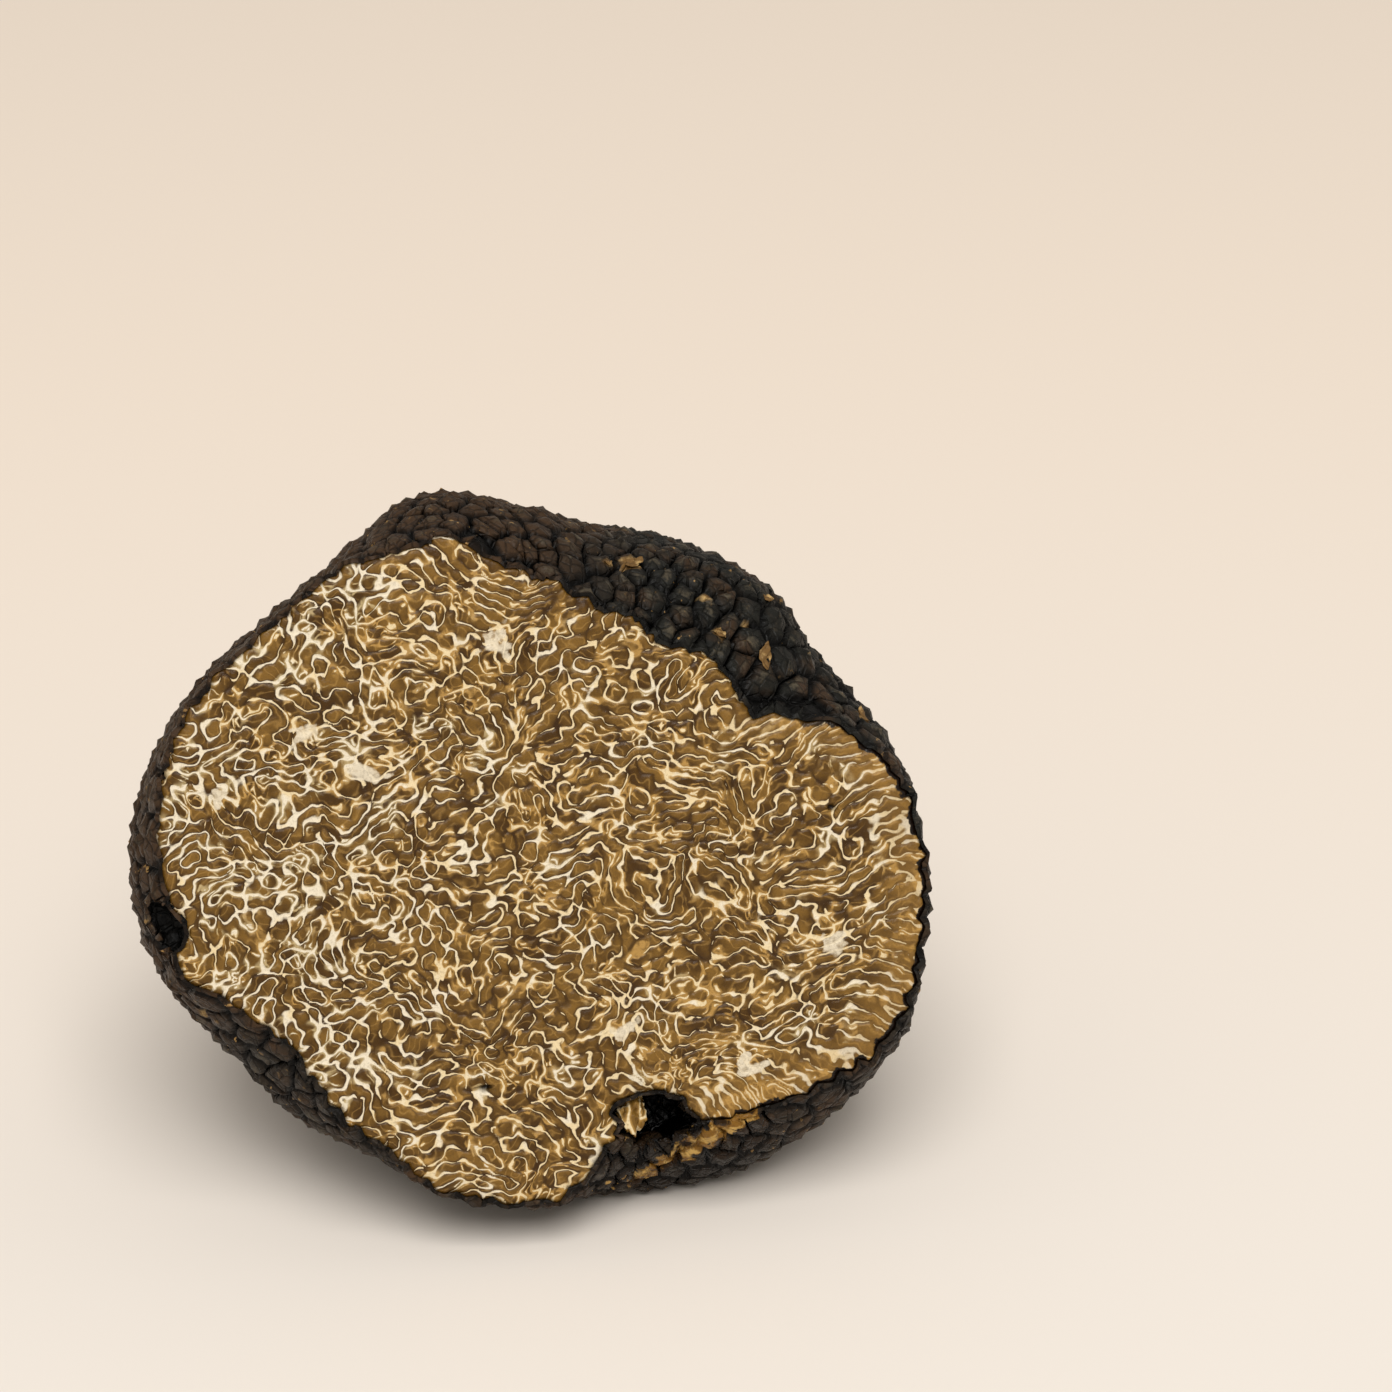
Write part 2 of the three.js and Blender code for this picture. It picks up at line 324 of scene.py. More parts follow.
def makeFleshMaterial():
    material, tree, shader = newMaterial("flesh", fleshLook["tan"])
    vein, bar, rim = attribute(tree, "vein"), attribute(tree, "bar"), attribute(tree, "rim")
    thick, tint, glow = attribute(tree, "thick"), attribute(tree, "tint"), attribute(tree, "glow")
    pale, blotch, shadedHole = attribute(tree, "pale"), attribute(tree, "blotch"), attribute(tree, "shadedHole")
    edge = attribute(tree, "edge")
    away = maths(tree, "ABSOLUTE", vein)

    share = maths(tree, "MULTIPLY_ADD", thick, 0.48, 1.0)
    share = maths(tree, "MULTIPLY_ADD", blotch, 1.6, maths(tree, "MULTIPLY_ADD", pale, 0.22, share))
    share = maths(tree, "MINIMUM", maths(tree, "MAXIMUM", share, 0.02), 2.6)
    width = maths(tree, "MULTIPLY", share, fleshLook["veinWidth"])
    lines = maths(tree, "MULTIPLY", bell(tree, vein, width), ramp(tree, share, 0.30, 0.62))
    barWidth = maths(tree, "MULTIPLY", ramp(tree, glow, 0.9, 1.3), ramp(tree, away, 0.20, 0.30))
    barWidth = maths(tree, "MULTIPLY_ADD", barWidth, fleshLook["barWidth"], 0.0001)
    bars = bell(tree, bar, barWidth)
    veins = ramp(tree, maths(tree, "MAXIMUM", lines, bars), 0.30, 0.80)
    halo = bell(tree, vein, maths(tree, "ADD", width, fleshLook["glowWidth"]))
    barHalo = bell(tree, bar, maths(tree, "ADD", barWidth, 0.10))
    barHalo = maths(tree, "MULTIPLY", barHalo, ramp(tree, glow, 0.0, 0.5))
    halo = ramp(tree, maths(tree, "MAXIMUM", halo, barHalo), 0.30, 0.95)

    fine = speckle(tree, 0.55, 0.5, 0.2, 3.0).outputs["Value"]
    side = ramp(tree, vein, -0.14, 0.14, 0.22, -0.22, "LINEAR")
    tone = maths(tree, "MULTIPLY_ADD", tint, 0.26, side)
    tone = maths(tree, "ADD", tone, ramp(tree, fine, 0.3, 0.7, -0.2, 0.2, "LINEAR"))
    tone = maths(tree, "MULTIPLY_ADD", ramp(tree, away, 0.05, 0.34), 0.22, tone)
    colour = mixColour(tree, ramp(tree, tone, -0.50, 0.95), fleshLook["olive"], fleshLook["tan"])
    faint = maths(tree, "MULTIPLY", bell(tree, bar, 0.055), ramp(tree, away, 0.10, 0.22, 0.0, 0.32))
    colour = mixColour(tree, faint, colour, fleshLook["gold"])
    golden = ramp(tree, maths(tree, "MULTIPLY_ADD", thick, 0.4, glow), -0.2, 1.0)
    haloColour = mixColour(tree, ramp(tree, pale, 0.3, 2.2), fleshLook["gold"], fleshLook["veil"])
    gilding = maths(tree, "MULTIPLY", maths(tree, "MULTIPLY", halo, golden), 0.85)
    colour = mixColour(tree, gilding, colour, haloColour)
    shade = maths(tree, "MULTIPLY", halo, maths(tree, "SUBTRACT", 1.0, golden))
    colour = mixColour(tree, maths(tree, "MULTIPLY", shade, 0.60), colour, fleshLook["dark"])
    colour = mixColour(tree, maths(tree, "MULTIPLY", rim, 0.35), colour, fleshLook["rim"])
    milk = maths(tree, "MULTIPLY_ADD", thick, 0.6, pale)
    whiteness = mixColour(tree, ramp(tree, milk, 0.4, 1.8), fleshLook["cream"], fleshLook["white"])
    strength = maths(tree, "MULTIPLY", veins, maths(tree, "MULTIPLY_ADD", rim, -0.30, 1.0))
    colour = mixColour(tree, strength, colour, whiteness)
    crumbs = speckle(tree, 0.7, 0.5, 0.1, 5.0).outputs["Value"]
    crumbs = ramp(tree, maths(tree, "MULTIPLY_ADD", crumbs, 1.2, blotch), 1.15, 1.50)
    milky = speckle(tree, 0.45, 0.56, 0.12, 4.0).outputs["Mask"]
    milky = mixColour(tree, milky, fleshLook["white"], fleshLook["milk"])
    colour = mixColour(tree, maths(tree, "MULTIPLY", crumbs, 0.85), colour, milky)
    border = speckle(tree, 1.2, 0.5, 0.1, 4.0).outputs["Value"]
    border = maths(tree, "MULTIPLY_ADD", border, 0.9, maths(tree, "MULTIPLY", edge, -1.2))
    colour = mixColour(tree, ramp(tree, border, 0.10, 0.45, 0.0, 0.55), colour, fleshLook["rimEdge"])
    # Painted shade: dark gaps between the flesh and the skin along the right rim.
    rimGapShade = maths(tree, "MULTIPLY_ADD", edge, -0.8, speckle(tree, 1.0, 0.5, 0.1, 4.0).outputs["Value"])
    rimGapShade = maths(tree, "MULTIPLY", ramp(tree, rimGapShade, 0.26, 0.36), ramp(tree, rim, 0.5, 0.9))
    colour = mixColour(tree, rimGapShade, colour, fleshLook["shadedHole"])
    grain = speckle(tree, 0.15, 0.5, 0.2, 3.0).outputs["Value"]
    colour = mixColour(tree, ramp(tree, grain, 0.45, 0.75, 0.0, 0.25), colour, fleshLook["dark"])
    # Painted shade: the small holes in the flesh are painted near black.
    colour = mixColour(tree, shadedHole, colour, fleshLook["shadedHole"])
    tree.links.new(colour, shader.inputs["Base Color"])
    tree.links.new(ramp(tree, grain, 0.3, 0.7, 0.30, 0.52, "LINEAR"), shader.inputs["Roughness"])
    shader.inputs["Specular IOR Level"].default_value = fleshLook["specular"]
    height = maths(tree, "MULTIPLY_ADD", grain, 0.25, maths(tree, "MULTIPLY", veins, 0.30))
    height = maths(tree, "ADD", height, maths(tree, "MULTIPLY", ramp(tree, away, 0.0, 0.3), 0.8))
    height = maths(tree, "MULTIPLY_ADD", fine, 1.2, height)
    bump = addNode(tree, "ShaderNodeBump", {"Strength": 0.7, "Distance": 0.10 * mm, "Height": height})
    tree.links.new(bump.outputs["Normal"], shader.inputs["Normal"])
    return material


skinMaterial = makeSkinMaterial("skin", skinLook["specular"], 0.0)
wetMaterial = makeSkinMaterial("wet skin", skinLook["wetSpecular"], skinLook["wetSmoother"])
fleshMaterial = makeFleshMaterial()
print("materials ready")


skin = {
    "cuts": 3,              # extra points along each side of a CAD facet
    "crease": 22.0,         # degrees; edges that turn more are left sharp
    "convexShare": 0.7,     # a corner with more of its edges convex than this is a wart's tip
    "crackDepth": 0.22,     # mm, and so are the heights below
    "plateRise": 0.17,
    "facetSize": 1.05,
    "facetTilt": 0.16,
    "facetCrack": 0.07,
    "grainSize": 0.75,
    "grainHeight": 0.06,
    "liftLimit": 0.22,
    "rimWidth": 0.24,
    "trayDepth": 0.9,
    "stepDepth": 4.0,       # mm behind the cut where the steps in the rim have died out
    "rimSteps": [           # x, y on the cut, reach, and how far the rim steps out or in there
        (18.3, 8.0, 1.9, 1.0),
        (14.5, 9.7, 1.5, -0.8),
        (10.8, 12.1, 2.0, 1.1),
        (6.1, 15.5, 0.9, 0.7),
        (1.3, 18.2, 0.9, 0.5),
        (-4.7, 21.1, 1.8, 0.8),
        (-22.6, -5.2, 1.8, 1.1),
        (-13.2, -14.9, 3.0, 0.6),
        (-8.0, -20.0, 3.0, 0.6),
    ],
    "brownBelow": (-20.0, -6.0),   # the skin turns brown towards the floor and towards the left
    "brownLeftOf": (6.0, 19.0),
    "chips": [              # x, y, z in the cut frame, and reach
        (5.3, 19.2, -3.6, 0.38),
        (6.8, 18.8, -4.2, 0.72),
        (12.0, 14.2, -1.7, 0.50),
        (11.5, 16.6, -3.1, 0.34),
        (14.2, 14.6, -3.3, 0.22),
        (21.7, 8.0, -3.8, 0.55),
        (21.7, 9.0, -4.6, 0.40),
        (-22.3, -8.7, -3.7, 0.40),
    ],
    "flakes": [             # x, y, z, length, width, turn in degrees and curl
        (5.3, 19.2, -3.6, 0.75, 0.50, 70.0, 0.25),
        (6.9, 18.8, -4.2, 1.45, 1.10, 60.0, 0.15),
        (12.0, 14.2, -1.7, 1.05, 0.85, 100.0, 0.20),
        (15.1, 12.6, -2.2, 1.85, 0.80, -62.0, 0.50),
        (16.0, 15.9, -6.2, 0.80, 0.65, 20.0, 0.10),
        (21.7, 8.2, -3.9, 1.15, 0.55, -50.0, 0.30),
    ],
    "flakeThickness": 0.14,
    "flakeJag": 0.55,       # how ragged a flake's outline is, as a share of its half width
    "flakeSink": 0.06,
    "flakeReach": 0.7,      # how far round a flake the skin that carries it is looked at
    "torn": [               # x, y, z along the scraped strip under the pit, and its half width
        (12.6, -17.4, 0.0, 1.0),
        (9.8, -18.7, -1.0, 1.7),
        (7.0, -21.0, -3.0, 1.3),
        (5.2, -22.3, -4.2, 0.8),
    ],
    "pits": [               # x, y, z and reach of the hollows in the skin
        (6.3, -17.3, -0.6, 3.2),
        (-25.4, -2.6, -0.8, 2.6),
    ],
    "wet": (9.0, -19.8, -3.0, 6.5),    # x, y, z and reach of the moist, glossy skin round the pit, which is also darkened there as painted shade
    "tornSpots": [
        (3.4, -21.9, -2.8, 0.35),
        (3.9, -22.9, -4.4, 0.30),
    ],
}


def smooth(value, low, high):
    t = min(1.0, max(0.0, (value - low) / (high - low)))
    return t * t * (3 - 2 * t)


# 1 on a wart's tip, 0 in the cracks; later points take their share from the corners of their facet.
def markTips(bm):
    tip = bm.verts.layers.float.new("tip")
    for v in bm.verts:
        edges = [e for e in v.link_edges if e.is_manifold]
        convex = sum(e.is_convex for e in edges)
        if len(edges) < len(v.link_edges):
            v[tip] = 0.45 if convex >= len(edges) else 0.15
        else:
            v[tip] = 1.0 if convex > skin["convexShare"] * len(edges) else 0.0
    return tip


def segmentShare(p, a, b):
    start, end = Vector(a[:3]), Vector(b[:3])
    along = max(0.0, min(1.0, (p - start).dot(end - start) / (end - start).length_squared))
    reach = a[3] * (1 - along) + b[3] * along
    return 1.0 - (p - start.lerp(end, along)).length / reach


def spotShare(p, spot):
    return 1.0 - (p - Vector(spot[:3])).length / spot[3]


def skinLift(p, t):
    lift = skin["plateRise"] * (smooth(t, 0.0, 0.26) - t)
    lift -= skin["crackDepth"] * max(0.0, 1.0 - t / 0.12)
    away, centres = noise.voronoi(p / skin["facetSize"])
    inCell = p / skin["facetSize"] - centres[0]
    lift += skin["facetTilt"] * inCell.dot(noise.cell_vector(centres[0] * 7.3) - Vector((0.5, 0.5, 0.5)))
    lift -= skin["facetCrack"] * max(0.0, 1.0 - (away[1] - away[0]) / 0.13)
    return lift + skin["grainHeight"] * noise.fractal(p / skin["grainSize"], 0.9, 2.1, 4)


def rimStep(p):
    out = 0.0
    for x, y, reach, rise in skin["rimSteps"]:
        out += rise * exp(-((p.x - x) ** 2 + (p.y - y) ** 2) / reach ** 2)
    return Vector((p.x, p.y, 0)).normalized() * out * smooth(p.z, -skin["stepDepth"], 0.0)


def roughenSkin(bm, tip):
    bare, torn, brown, pitShade = [bm.verts.layers.float.new(name) for name in ("bare", "torn", "brown", "pitShade")]
    bm.normal_update()
    upright = cutFrame.inverted()
    moves = []
    for v in bm.verts:
        p = v.co / mm
        lift = min(skinLift(p, v[tip]), skin["liftLimit"]) * (0.5 if v.is_boundary else 1.0)
        moves.append((v, (v.normal * lift + rimStep(p)) * mm))
        ragged = 0.45 * noise.noise(p * 2.3)
        strip = max(segmentShare(p, a, b) for a, b in zip(skin["torn"], skin["torn"][1:]))
        spots = max(spotShare(p, spot) for spot in skin["tornSpots"])
        v[torn] = max(0.0, min(1.0, max(strip, spots) + ragged))
        chip = max(spotShare(p, spot) for spot in skin["chips"])
        v[bare] = smooth(chip + 0.30 * noise.noise(p * 2.9) * (chip > -0.6), 0.0, 0.10)
        # Share of painted shade round the pit.
        v[pitShade] = smooth(spotShare(p, skin["wet"]), 0.0, 0.4)
        low = smooth(-(cutFrame @ v.co).z / mm, *skin["brownBelow"])
        v[brown] = max(0.4 * low, smooth(-p.x + 0.8 * p.y, *skin["brownLeftOf"]))
    for v, move in moves:
        v.co += move
        if v.is_boundary:
            v.co.z = 0.0
        place = cutFrame @ v.co
        if place.z < 0.0:
            place.z = 0.0
            v.co = upright @ place


def walkRim(bm):
    edges = set(e for e in bm.edges if e.is_boundary)
    loops = []
    while edges:
        edge = edges.pop()
        loop = [edge.verts[0], edge.verts[1]]
        while True:
            onward = [e for e in loop[-1].link_edges if e in edges]
            if not onward:
                break
            edges.discard(onward[0])
            loop.append(onward[0].other_vert(loop[-1]))
        loops.append(loop[:-1] if loop[0] is loop[-1] else loop)
    loops.sort(key=len, reverse=True)
    print("rim loops", [len(loop) for loop in loops])
    rim = loops[0]
    area = sum(a.co.x * b.co.y - b.co.x * a.co.y for a, b in zip(rim, rim[1:] + rim[:1]))
    return rim if area > 0 else rim[::-1]


def extrudeLoop(bm, verts):
    edges = [bm.edges.get((a, b)) for a, b in zip(verts, verts[1:] + verts[:1])]
    made = bmesh.ops.extrude_edge_only(bm, edges=edges)["geom"]
    fresh = set(g for g in made if isinstance(g, bmesh.types.BMVert))
    follow = []
    for v in verts:
        follow.append(next(e.other_vert(v) for e in v.link_edges
                           if e.other_vert(v) in fresh and (e.other_vert(v).co - v.co).length < 1e-9))
    return follow


def rimInward(points, reach=4):
    count = len(points)
    inward = []
    for i in range(count):
        tangent = points[(i + reach) % count] - points[i - reach]
        inward.append(Vector((-tangent.y, tangent.x, 0)).normalized())
    return inward


def makeTray(bm):
    rim = walkRim(bm)
    points = [v.co.copy() for v in rim]
    inward = rimInward(points)
    inner = extrudeLoop(bm, rim)
    for v, p, n in zip(inner, points, inward):
        width = skin["rimWidth"] * (1.0 + 0.5 * noise.noise(p / mm * 1.3))
        v.co = p + n * width * mm
    edge = [v.co.copy() for v in inner]
    bottom = extrudeLoop(bm, inner)
    for v in bottom:
        v.co.z -= skin["trayDepth"] * mm
    edges = [bm.edges.get((a, b)) for a, b in zip(bottom, bottom[1:] + bottom[:1])]
    made = bmesh.ops.contextual_create(bm, geom=edges)["faces"]
    bmesh.ops.triangulate(bm, faces=made, ngon_method="EAR_CLIP")
    return edge


# A thin curled flake of dry skin, laid on the highest skin near its place.
def addFlake(bm, flake, seed):
    tree = kdtree.KDTree(len(bm.verts))
    for i, v in enumerate(bm.verts):
        tree.insert(v.co, i)
    tree.balance()
    bm.verts.ensure_lookup_table()
    root = Vector(flake[:3]) * mm
    near = tree.find_range(root, skin["flakeReach"] * mm)
    up = sum((bm.verts[i].normal for _, i, _ in near), Vector()).normalized()
    root += up * max((place - root).dot(up) for place, _, _ in near)
    around = up.to_track_quat("Z", "Y") @ Euler((0, 0, radians(flake[5]))).to_quaternion()
    length, width, curl = flake[3], flake[4], flake[6]
    made = bmesh.ops.create_icosphere(bm, subdivisions=4, radius=0.5)["verts"]
    for v in made:
        outline = Vector((v.co.x, v.co.y, 0)) * 1.5 + Vector((seed, seed, 0))
        jag = 1.0 + skin["flakeJag"] * noise.fractal(outline, 0.9, 2.2, 3)
        x, y = v.co.x * jag * length, v.co.y * jag * width
        bend = curl * (x / length) ** 2 * 1.6 + 0.12 * noise.noise(Vector((x * 3, y * 3, seed)))
        z = v.co.z * skin["flakeThickness"] + bend - skin["flakeSink"]
        v.co = root + around @ Vector((x, y, z)) * mm
    return made


# Equal areas of the skin, spread out from the middle of the hidden back.
def aroundBack(p):
    q = p - Vector((0, 0, -8))
    away = acos(max(-1.0, min(1.0, -q.z / q.length)))
    share = 0.5 * sin(away / 2) / sin(radians(58)) / max(0.001, hypot(q.x, q.y))
    return 0.5 - q.x * share, 0.5 + q.y * share


def layOutSkin(bm, outer, flakes):
    inside = cornerChart(0.07, 0.07, 0.0, 0.0, 32.0)

    def chartOf(f):
        p = f.calc_center_median() / mm
        if f not in outer and (f.normal.z < 0.5 or p.z < -0.1):
            return inside
        for i, faces in enumerate(flakes):
            if f in faces:
                x, y = skin["flakes"][i][:2]
                return cornerChart(0.07, 0.93, x - 2.0 * (i % 3 - 1), y - 2.4 * (i // 3 - 0.5), 3.0)
        for i, (x, y, z, half) in enumerate(skin["pits"]):
            inward = Vector((x, y, z)) - p
            if inward.length < 1.25 * half and inward.dot(f.normal) > 0:
                return cornerChart(0.93, 0.07, x - 6.0 * (i - 0.5), y, 6.0)
        return aroundBack
    layOut(bm, chartOf)


def buildSkin():
    bm = bmesh.new()
    bm.from_mesh(body.data)
    bmesh.ops.remove_doubles(bm, verts=bm.verts, dist=0.001 * mm)
    bm.transform(cutFrame.inverted())
    bm.normal_update()
    flat = [f for f in bm.faces if f.normal.z > 0.999 and abs(f.calc_center_median().z) < 0.01 * mm]
    bmesh.ops.delete(bm, geom=flat, context="FACES")
    tip = markTips(bm)
    bmesh.ops.subdivide_edges(bm, edges=bm.edges[:], cuts=skin["cuts"], use_grid_fill=True)
    roughenSkin(bm, tip)
    bare = bm.verts.layers.float["bare"]
    bm.normal_update()
    flakes = []
    for seed, flake in enumerate(skin["flakes"]):
        made = addFlake(bm, flake, seed)
        flakes.append(set(f for v in made for f in v.link_faces))
        for v in made:
            v[bare], v[tip] = 1.0, 0.6
    outer = set(bm.faces)
    edge = makeTray(bm)
    bmesh.ops.recalc_face_normals(bm, faces=bm.faces)
    layOutSkin(bm, outer, flakes)
    for f in bm.faces:
        p = f.calc_center_median() / mm
        f.material_index = int(spotShare(p, skin["wet"]) + 0.25 * noise.noise(p * 0.9) > 0)
    piece = finishPiece("skin", bm, [skinMaterial, wetMaterial], skin["crease"])
    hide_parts("truffle_half")
    return edge


fleshEdge = buildSkin()


flesh = {
    "seed": 21,
    "fieldSpan": 60.0,      # mm covered by the vein field
    "fieldCells": 512,
    "veinSpacing": 1.42,    # mm, wavelength of the field whose zero lines are the veins
    "veinBand": 0.36,
    "barSpacing": 1.0,
    "barBand": 0.35,
    "pointSpacing": 0.14,
    "mergeWithin": 0.003,
    "lobeRise": 0.05,
    "swell": 0.10,
    "rimDrop": 0.16,
    "thickness": 0.7,
    "paler": (2.0, 16.0),   # mm left of the middle, where the veins grow wider and paler
    "blotches": [           # x, y, half width, half height in mm
        (-2.6, 15.2, 1.0, 1.8),
        (-11.0, 6.9, 1.7, 0.9),
        (18.8, -6.3, 1.0, 1.1),
        (4.9, -10.6, 1.3, 0.9),
        (12.8, -14.2, 1.8, 0.7),
        (-20.4, 6.3, 1.2, 0.7),
        (-15.2, 9.9, 1.0, 0.7),
        (3.6, 11.9, 0.5, 0.8),
    ],
    "goldenPlaces": [
        (6.1, -13.1, 1.2, 1.0),
        (11.0, -12.6, 1.9, 1.2),
        (4.0, -18.6, 1.2, 0.9),
        (13.6, -16.2, 2.2, 0.8),
        (9.5, -9.0, 1.6, 1.2),
    ],
    "hollows": [            # x, y, half width, half height in mm
        (18.8, 2.9, 0.28, 0.24),
        (-4.5, -14.2, 0.45, 0.22),
        (4.2, -17.6, 0.20, 0.65),
    ],
}

# A tooth of pale flesh left standing in the pit.
islet = {
    "middle": (5.0, -17.15, -1.9),
    "half": (0.95, 1.4, 1.9),
    "slant": 0.4,
    "roughness": 0.4,
}


class VeinField:
    # Numbers on a square grid over the cut, with smoothing by Fourier filters.
    def __init__(self):
        self.n, self.span = flesh["fieldCells"], flesh["fieldSpan"]
        self.step = self.span / self.n
        self.draw = np.random.default_rng(flesh["seed"])
        axis = (np.arange(self.n) + 0.5) * self.step - self.span / 2
        self.x, self.y = np.meshgrid(axis, axis)
        k = np.fft.fftfreq(self.n, self.step)
        self.wave = np.hypot(*np.meshgrid(k, k))

    def filtered(self, field, gain):
        return np.real(np.fft.ifft2(np.fft.fft2(field) * gain))

    def softNoise(self, size):
        field = self.filtered(self.draw.standard_normal((self.n, self.n)), np.exp(-(self.wave * size) ** 2))
        return field / field.std()

    def sample(self, field, x, y):
        u = np.clip((x + self.span / 2) / self.step - 0.5, 0, self.n - 1.001)
        v = np.clip((y + self.span / 2) / self.step - 0.5, 0, self.n - 1.001)
        i, j = u.astype(int), v.astype(int)
        a, b = u - i, v - j
        low = field[j, i] * (1 - a) + field[j, i + 1] * a
        high = field[j + 1, i] * (1 - a) + field[j + 1, i + 1] * a
        return low * (1 - b) + high * b

    # A field of one wavelength, drawn out along (dx, dy), scaled so that it reads as mm from its zero lines.
    def banded(self, spacing, bandWidth, rounds, dx, dy):
        band = np.exp(-((self.wave * spacing - 1) / bandWidth) ** 2)
        field = self.draw.standard_normal((self.n, self.n))
        for left in reversed(range(rounds)):
            field = self.filtered(field, band)
            field /= field.std()
            field = sum(self.sample(field, self.x + s * dx, self.y + s * dy) for s in np.linspace(-1, 1, 5))
            field /= field.std()
            if left:
                field = np.tanh(field)
        slopeY, slopeX = np.gradient(field, self.step)
        steepness = self.filtered(slopeX ** 2 + slopeY ** 2, np.exp(-(self.wave * spacing * 0.4) ** 2))
        steepness = np.sqrt(np.clip(steepness, 1e-6, None))
        return field / np.sqrt(steepness * steepness.mean())


def smoothStep(value, low, high):
    t = np.clip((value - low) / (high - low), 0, 1)
    return t * t * (3 - 2 * t)


def rimRadius(edge, angles):
    around = np.array([atan2(p.y, p.x) for p in edge])
    radius = np.array([hypot(p.x, p.y) / mm for p in edge])
    order = np.argsort(around)
    return np.interp(angles, around[order], radius[order], period=2 * pi)


# The values that the flesh's material reads, at points x, y of the cut. Veins run outward near the right rim.
def veinValues(edge, x, y):
    grid = VeinField()
    around = np.arctan2(grid.y, grid.x)
    inset = rimRadius(edge, around) - np.hypot(grid.x, grid.y)
    rim = smoothStep(4.0 - inset, 0, 3.2) * smoothStep(np.cos(around + 0.3), 0.45, 0.85)
    grain = grid.softNoise(5.0) * 1.3
    across = (np.cos(grain) + 0.5 * cos(0.3)) * (1 - rim) + 2 * np.cos(2 * around) * rim
    upward = (np.sin(grain) + 0.5 * sin(0.3)) * (1 - rim) + 2 * np.sin(2 * around) * rim
    turn = np.arctan2(upward, across) / 2
    kept = 1 - 0.6 * smoothStep(-grid.x, *flesh["paler"])
    stretch = np.clip(0.27 + 0.16 * grid.softNoise(4.0), 0.05, 0.6) * kept
    stretch = stretch * (1 - rim) + rim
    dx, dy = stretch * np.cos(turn), stretch * np.sin(turn)
    veins = grid.banded(flesh["veinSpacing"], flesh["veinBand"], 2, dx, dy)
    bars = grid.banded(flesh["barSpacing"], flesh["barBand"], 1, dx, dy)
    wx, wy = x.copy(), y.copy()
    for size, reach in ((6.0, 0.4), (1.0, 0.10), (0.4, 0.025)):
        wanderX, wanderY = grid.softNoise(size), grid.softNoise(size)
        wx += reach * grid.sample(wanderX, x, y)
        wy += reach * grid.sample(wanderY, x, y)
    values = {"vein": grid.sample(veins, wx, wy), "bar": grid.sample(bars, wx, wy)}
    values["rim"] = grid.sample(rim, x, y)
    for name, size in (("thick", 0.75), ("tint", 1.4), ("glow", 1.1), ("pale", 2.2), ("swell", 9.0)):
        values[name] = grid.sample(grid.softNoise(size), x, y)
    values["pale"] += 1.5 * smoothStep(-x, *flesh["paler"])
    return values


def spots(x, y, places):
    share = np.zeros(len(x))
    for px, py, rx, ry in places:
        share = np.maximum(share, np.exp(-(((x - px) / rx) ** 2 + ((y - py) / ry) ** 2) ** 2))
    return share


def insideEdge(xs, ys, edge):
    ex = np.array([p.x for p in edge]) / mm
    ey = np.array([p.y for p in edge]) / mm
    nx, ny = np.roll(ex, -1), np.roll(ey, -1)
    inside = np.zeros((len(ys), len(xs)), bool)
    for row, y in enumerate(ys):
        crossing = (ey > y) != (ny > y)
        across = (y - ey[crossing]) * (nx[crossing] - ex[crossing])
        at = np.sort(ex[crossing] + across / (ny[crossing] - ey[crossing]))
        inside[row] = np.searchsorted(at, xs) % 2 == 1
    return inside


def edgeTree(edge):
    fine = []
    for a, b in zip(edge, edge[1:] + edge[:1]):
        parts = max(1, int((b - a).length / (0.01 * mm)))
        fine += [a.lerp(b, k / parts) for k in range(parts)]
    tree = kdtree.KDTree(len(fine))
    for i, p in enumerate(fine):
        tree.insert(p, i)
    tree.balance()
    return tree


# Takes off cells that hang on by a corner or lie wholly on the border, then moves the border to the rim.
def meetRim(bm, tree):
    trimmed = True
    while trimmed:
        stray = [v for v in bm.verts if not v.link_faces or sum(e.is_boundary for e in v.link_edges) > 2]
        bmesh.ops.delete(bm, geom=stray, context="VERTS")
        ears = [f for f in bm.faces if all(v.is_boundary for v in f.verts)]
        bmesh.ops.delete(bm, geom=ears, context="FACES")
        trimmed = bool(stray or ears)
        if not trimmed:
            border = [v for v in bm.verts if v.is_boundary]
            count = len(bm.verts)
            for v in border:
                v.co = tree.find(v.co * mm)[0] / mm
            bmesh.ops.remove_doubles(bm, verts=border, dist=flesh["mergeWithin"])
            trimmed = len(bm.verts) < count


# A grid of points over the cut, trimmed to the rim.
def cutGrid(edge, tree):
    spacing = flesh["pointSpacing"]
    halfX = max(abs(p.x) for p in edge) / mm + spacing
    halfY = max(abs(p.y) for p in edge) / mm + spacing
    xs = np.arange(-halfX, halfX, spacing)
    ys = np.arange(-halfY, halfY, spacing)
    inside = insideEdge(xs, ys, edge)
    bm = bmesh.new()
    bmesh.ops.create_grid(bm, x_segments=len(xs) - 1, y_segments=len(ys) - 1, size=1.0)
    outside = []
    for v in bm.verts:
        column, row = round((v.co.x + 1) / 2 * (len(xs) - 1)), round((v.co.y + 1) / 2 * (len(ys) - 1))
        v.co.x, v.co.y = xs[column], ys[row]
        if not inside[row, column]:
            outside.append(v)
    bmesh.ops.delete(bm, geom=outside, context="VERTS")
    meetRim(bm, tree)
    return bm


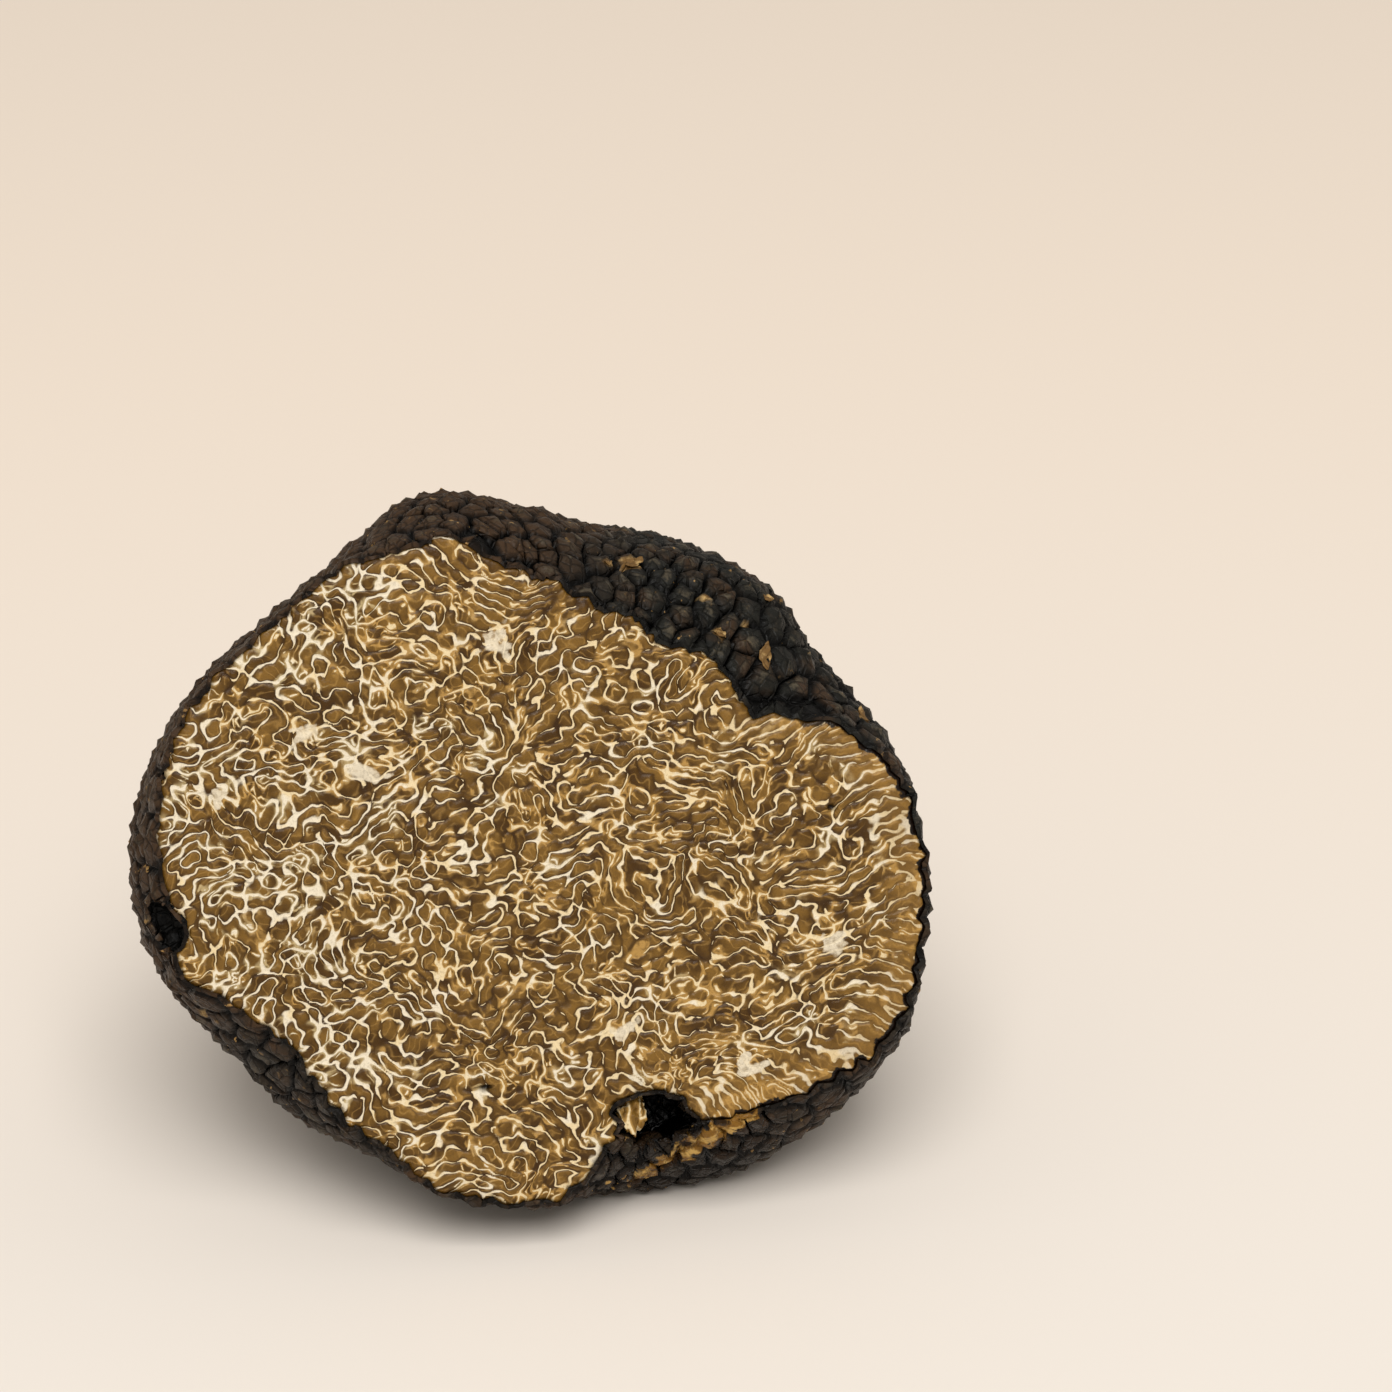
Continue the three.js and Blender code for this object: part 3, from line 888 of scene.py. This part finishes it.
def addIslet(bm, layers):
    made = bmesh.ops.create_icosphere(bm, subdivisions=5, radius=1.0)["verts"]
    middle, half = Vector(islet["middle"]), Vector(islet["half"])
    for v in made:
        p = v.co * (1.0 + islet["roughness"] * noise.fractal(v.co * 1.6 + Vector((4, 4, 4)), 0.9, 2.0, 3))
        p.x *= half.x * (1.0 + islet["slant"] * p.y)
        p.y *= half.y
        p.z *= half.z
        place = middle + p
        place.z = min(place.z, -0.12 - 0.10 * noise.noise(place * 1.1))
        v.co = place
        ridges = Vector((place.x * 1.7, place.y * 0.6, place.z * 0.8 + 3.0))
        values = {"vein": 0.7 * noise.noise(ridges), "bar": 1.0, "pale": 0.2, "thick": 0.6, "tint": 0.8,
                  "glow": 1.2, "edge": 2.0}
        for name, value in values.items():
            v[layers[name]] = value
    return made


def buildFlesh(edge):
    tree = edgeTree(edge)
    bm = cutGrid(edge, tree)
    place = np.array([v.co[:2] for v in bm.verts])
    x, y = place[:, 0], place[:, 1]
    values = veinValues(edge, x, y)
    swell = values.pop("swell")
    values["blotch"] = spots(x + 0.35 * values["thick"], y + 0.35 * values["tint"], flesh["blotches"])
    # The small holes, dipped into the flesh and painted dark as shade.
    values["shadedHole"] = spots(x, y, flesh["hollows"])
    golden = spots(x + 0.35 * values["tint"], y + 0.35 * values["thick"], flesh["goldenPlaces"])
    values["glow"] += 1.6 * golden
    values["tint"] += 1.5 * golden
    values["edge"] = np.zeros(len(x))
    layers = {name: bm.verts.layers.float.new(name) for name in values}
    bm.verts.ensure_lookup_table()
    for i, v in enumerate(bm.verts):
        inset = tree.find(v.co * mm)[2] / mm
        values["edge"][i] = inset
        rise = flesh["lobeRise"] * (min(1.0, abs(values["vein"][i]) / 0.3) - 0.6)
        rise += flesh["swell"] * swell[i] * min(1.0, inset / 3) - flesh["rimDrop"] * exp(-inset / 0.35)
        rise += 0.02 * noise.noise(Vector((x[i] * 2.2, y[i] * 2.2, 3.0)))
        v.co.z = rise - 0.45 * values["shadedHole"][i]
        for name, layer in layers.items():
            v[layer] = values[name][i]
    border = [e for e in bm.edges if e.is_boundary]
    made = bmesh.ops.extrude_edge_only(bm, edges=border)["geom"]
    for v in made:
        if isinstance(v, bmesh.types.BMVert):
            v.co.z = -flesh["thickness"]
    rings = [g for g in made if isinstance(g, bmesh.types.BMEdge) and g.is_boundary]
    back = bmesh.ops.contextual_create(bm, geom=rings)["faces"]
    bmesh.ops.triangulate(bm, faces=back, ngon_method="EAR_CLIP")
    islets = set(addIslet(bm, layers))
    bmesh.ops.scale(bm, vec=(mm, mm, mm), verts=bm.verts)
    bmesh.ops.recalc_face_normals(bm, faces=bm.faces)
    hidden = -0.99 * flesh["thickness"] * mm
    face, inside = cornerChart(0.5, 0.5, 0.0, 0.0, 3.2), cornerChart(0.07, 0.07, 0.0, 0.0, 32.0)
    below = set(f for v in bm.verts if v.co.z < hidden and v not in islets for f in v.link_faces)
    layOut(bm, lambda f: inside if f in below else face)
    return finishPiece("flesh", bm, [fleshMaterial])


buildFlesh(fleshEdge)


stage = {
    "floorFront": (0.84, 0.80, 0.755, 1.0),
    "floorBack": (0.886, 0.783, 0.68, 1.0),
    "world": (1.0, 0.94, 0.86, 1.0),
    "worldStrength": 0.44,
    "lightPlace": (-0.04, -0.62, 1.06),    # metres
    "lightAim": (0, 0, 0.02),
    "lightSize": 0.80,
    "lightPower": 12.4,     # watts
    "lightColour": (1.0, 0.975, 0.94),
}

view = {
    "lens": 100.0,
    "azimuth": -7.58,
    "elevation": 27.45,
    "distance": 250.0,      # mm
    "aim": (10.95, -8.66, 34.73),
}


def addFloor():
    bm = bmesh.new()
    bmesh.ops.create_grid(bm, x_segments=1, y_segments=1, size=3.0)
    mesh = bpy.data.meshes.new("floor")
    bm.to_mesh(mesh)
    bm.free()
    material, tree, shader = newMaterial("paper", stage["floorFront"])
    place = addNode(tree, "ShaderNodeTexCoord").outputs["Object"]
    y = addNode(tree, "ShaderNodeSeparateXYZ", {"Vector": place}).outputs["Y"]
    colour = mixColour(tree, ramp(tree, y, -0.10, 0.15), stage["floorFront"], stage["floorBack"])
    tree.links.new(colour, shader.inputs["Base Color"])
    shader.inputs["Roughness"].default_value = 0.9
    mesh.materials.append(material)
    floor = bpy.data.objects.new("floor", mesh)
    scene.collection.objects.link(floor)


def addOverheadLight():
    data = bpy.data.lights.new("overhead", "AREA")
    data.size = stage["lightSize"]
    data.energy = stage["lightPower"]
    data.color = stage["lightColour"]
    light = bpy.data.objects.new("overhead", data)
    light.location = stage["lightPlace"]
    aim = Vector(stage["lightAim"]) - Vector(stage["lightPlace"])
    light.rotation_euler = aim.to_track_quat("-Z", "Y").to_euler()
    scene.collection.objects.link(light)


def addLights():
    world = bpy.data.worlds.new("studio")
    world.use_nodes = True
    world.node_tree.nodes["Background"].inputs["Color"].default_value = stage["world"]
    world.node_tree.nodes["Background"].inputs["Strength"].default_value = stage["worldStrength"]
    scene.world = world
    addOverheadLight()


def addCamera():
    azimuth, elevation = radians(view["azimuth"]), radians(view["elevation"])
    away = Vector((sin(azimuth) * cos(elevation), -cos(azimuth) * cos(elevation), sin(elevation)))
    data = bpy.data.cameras.new("camera")
    data.lens, data.sensor_width, data.sensor_fit = view["lens"], 36.0, "HORIZONTAL"
    data.clip_start, data.clip_end = 0.01, 20.0
    camera = bpy.data.objects.new("camera", data)
    camera.location = (Vector(view["aim"]) + away * view["distance"]) * mm
    camera.rotation_euler = (-away).to_track_quat("-Z", "Y").to_euler()
    scene.collection.objects.link(camera)
    scene.camera = camera


addFloor()
addLights()
addCamera()
scene.view_settings.view_transform = "Standard"
print("stage ready")
